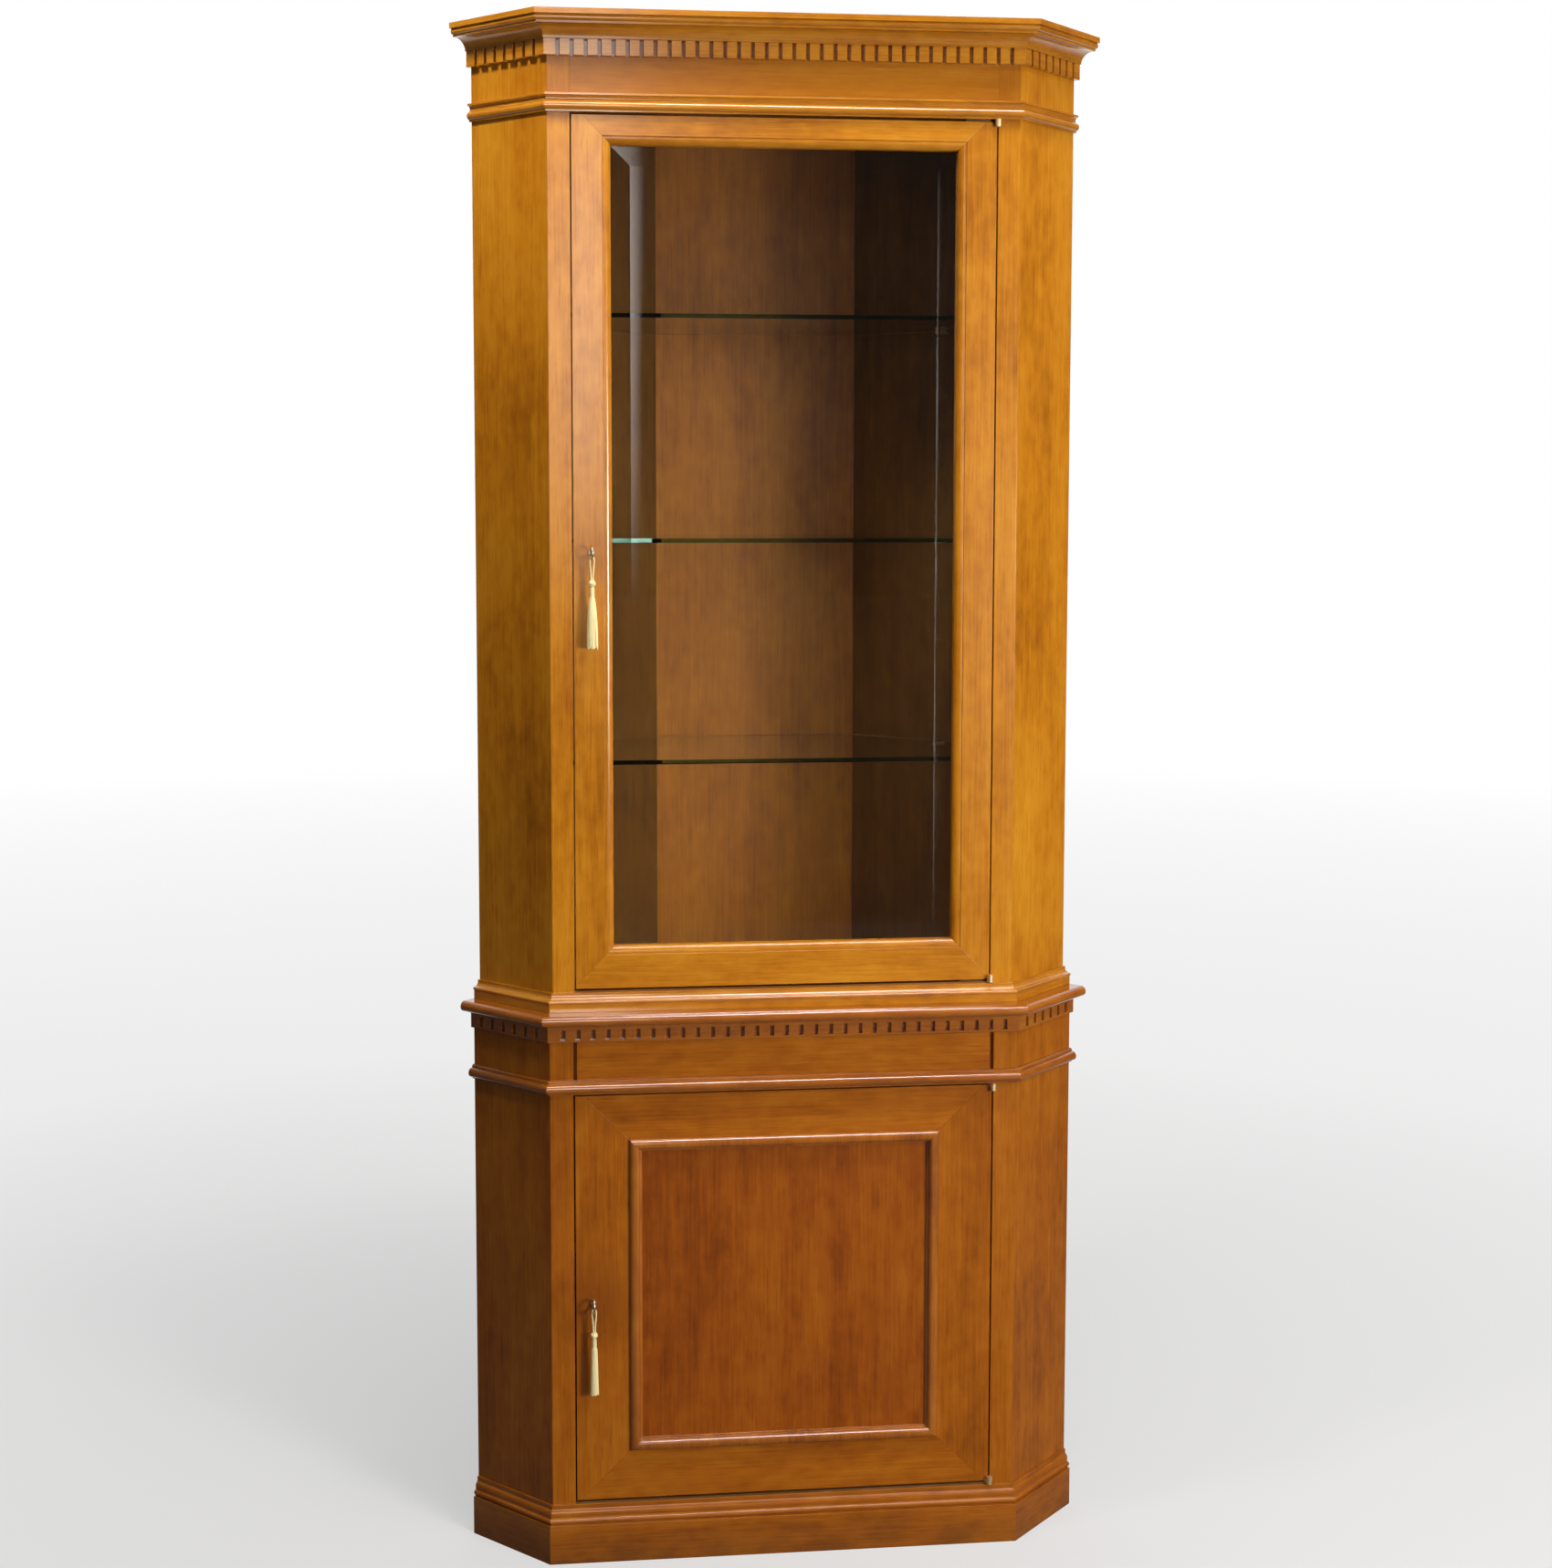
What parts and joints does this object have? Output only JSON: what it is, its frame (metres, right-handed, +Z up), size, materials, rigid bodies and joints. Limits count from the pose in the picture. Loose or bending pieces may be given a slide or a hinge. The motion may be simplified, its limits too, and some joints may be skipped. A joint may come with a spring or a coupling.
{
  "type": "corner display cabinet",
  "caption": "Two-stage corner display cabinet with canted sides, a glazed door over glass shelves, a panelled cupboard door below, dentil mouldings and keys with tassels.",
  "frame": {"origin": "on the floor, midway between the two sides and midway between the cornice's front edge and the flat back", "axes": "+X to the viewer's right, -Y is the front, +Z up"},
  "size_m": [0.8906, 0.402, 2.1],
  "materials": {
    "lacquered_wood": "satin lacquer, fine upright grain",
    "panel_wood": "satin lacquer, redder veneer",
    "inner_wood": "matt stained board",
    "glass": "clear, polished",
    "brass": "polished",
    "steel": "zinc plated",
    "yarn": "twisted cream yarn"
  },
  "bodies": {
    "cabinet": {"base_astragal": "lacquered_wood", "base_back_centre": "inner_wood", "base_back_left": "inner_wood", "base_back_right": "inner_wood", "base_dentils": "lacquered_wood", "base_floor": "inner_wood", "base_frieze_rail": "lacquered_wood", "base_shelf": "inner_wood", "base_side_left": "lacquered_wood", "base_side_right": "lacquered_wood", "base_stile_left": "lacquered_wood", "base_stile_right": "lacquered_wood", "base_top": "lacquered_wood", "cabinet_hinge_plates": "brass", "case_astragal": "lacquered_wood", "case_back_centre": "inner_wood", "case_back_left": "inner_wood", "case_back_right": "inner_wood", "case_floor": "inner_wood", "case_foot_moulding": "lacquered_wood", "case_frieze_rail": "lacquered_wood", "case_side_left": "lacquered_wood", "case_side_right": "lacquered_wood", "case_stile_left": "lacquered_wood", "case_stile_right": "lacquered_wood", "case_top": "inner_wood", "cornice_dentils": "lacquered_wood", "cornice_moulding": "lacquered_wood", "glass_shelf_high": "glass", "glass_shelf_low": "glass", "glass_shelf_middle": "glass", "plinth_boards": "lacquered_wood", "plinth_cap": "lacquered_wood", "shelf_pegs": "brass", "waist_moulding": "lacquered_wood"},
    "glazed_door": {"door_glass": "glass", "glazed_door_bottom_rail": "lacquered_wood", "glazed_door_hinge_plates": "brass", "glazed_door_left_stile": "lacquered_wood", "glazed_door_lock_case": "steel", "glazed_door_right_stile": "lacquered_wood", "glazed_door_top_rail": "lacquered_wood", "glazing_beads": "lacquered_wood"},
    "panel_door": {"panel_door_bolection": "lacquered_wood", "panel_door_bottom_rail": "lacquered_wood", "panel_door_hinge_plates": "brass", "panel_door_left_stile": "lacquered_wood", "panel_door_lock_case": "steel", "panel_door_panel": "panel_wood", "panel_door_right_stile": "lacquered_wood", "panel_door_top_rail": "lacquered_wood"},
    "glazed_bolt": {"glazed_door_lock_bolt": "steel"},
    "glazed_key": {"glazed_door_key": "brass"},
    "glazed_loop": {"glazed_door_tassel_loop": "yarn"},
    "glazed_tassel": {"glazed_door_tassel": "yarn"},
    "panel_bolt": {"panel_door_lock_bolt": "steel"},
    "panel_key": {"panel_door_key": "brass"},
    "panel_loop": {"panel_door_tassel_loop": "yarn"},
    "panel_tassel": {"panel_door_tassel": "yarn"}
  },
  "joints": [
    {"name": "glazed_door_swing", "type": "hinge", "parent": "cabinet", "child": "glazed_door", "pos_m": [0.287, -0.1654, 1.39419], "axis": [0, 0, 1], "range_deg": [0, 110]},
    {"name": "glazed_key_turn", "type": "hinge", "parent": "glazed_door", "child": "glazed_key", "pos_m": [-0.262, -0.161, 1.39419], "axis": [0, 1, 0], "range_deg": [0, 90]},
    {"name": "glazed_bolt_throw", "type": "slide", "parent": "glazed_door", "child": "glazed_bolt", "axis": [-1, 0, 0], "range_m": [0, 0.009]},
    {"name": "glazed_loop_plumb", "type": "hinge", "parent": "glazed_key", "child": "glazed_loop", "pos_m": [-0.262, -0.1755, 1.38569], "axis": [0, 1, 0], "range_deg": [-100, 10]},
    {"name": "glazed_tassel_swing", "type": "hinge", "parent": "glazed_loop", "child": "glazed_tassel", "pos_m": [-0.262, -0.1755, 1.35319], "axis": [0, 1, 0], "range_deg": [-30, 30]},
    {"name": "panel_door_swing", "type": "hinge", "parent": "cabinet", "child": "panel_door", "pos_m": [0.28997, -0.1774, 0.36595], "axis": [0, 0, 1], "range_deg": [0, 110]},
    {"name": "panel_key_turn", "type": "hinge", "parent": "panel_door", "child": "panel_key", "pos_m": [-0.26497, -0.173, 0.36595], "axis": [0, 1, 0], "range_deg": [0, 90]},
    {"name": "panel_bolt_throw", "type": "slide", "parent": "panel_door", "child": "panel_bolt", "axis": [-1, 0, 0], "range_m": [0, 0.009]},
    {"name": "panel_loop_plumb", "type": "hinge", "parent": "panel_key", "child": "panel_loop", "pos_m": [-0.26497, -0.1875, 0.35745], "axis": [0, 1, 0], "range_deg": [-100, 10]},
    {"name": "panel_tassel_swing", "type": "hinge", "parent": "panel_loop", "child": "panel_tassel", "pos_m": [-0.26497, -0.1875, 0.32495], "axis": [0, 1, 0], "range_deg": [-30, 30]}
  ],
  "couplings": [
    {"joint": "glazed_bolt_throw", "follows": "glazed_key_turn", "m_per_rad": 0.0057},
    {"joint": "glazed_loop_plumb", "follows": "glazed_key_turn", "ratio": -1},
    {"joint": "panel_bolt_throw", "follows": "panel_key_turn", "m_per_rad": 0.0057},
    {"joint": "panel_loop_plumb", "follows": "panel_key_turn", "ratio": -1}
  ]
}
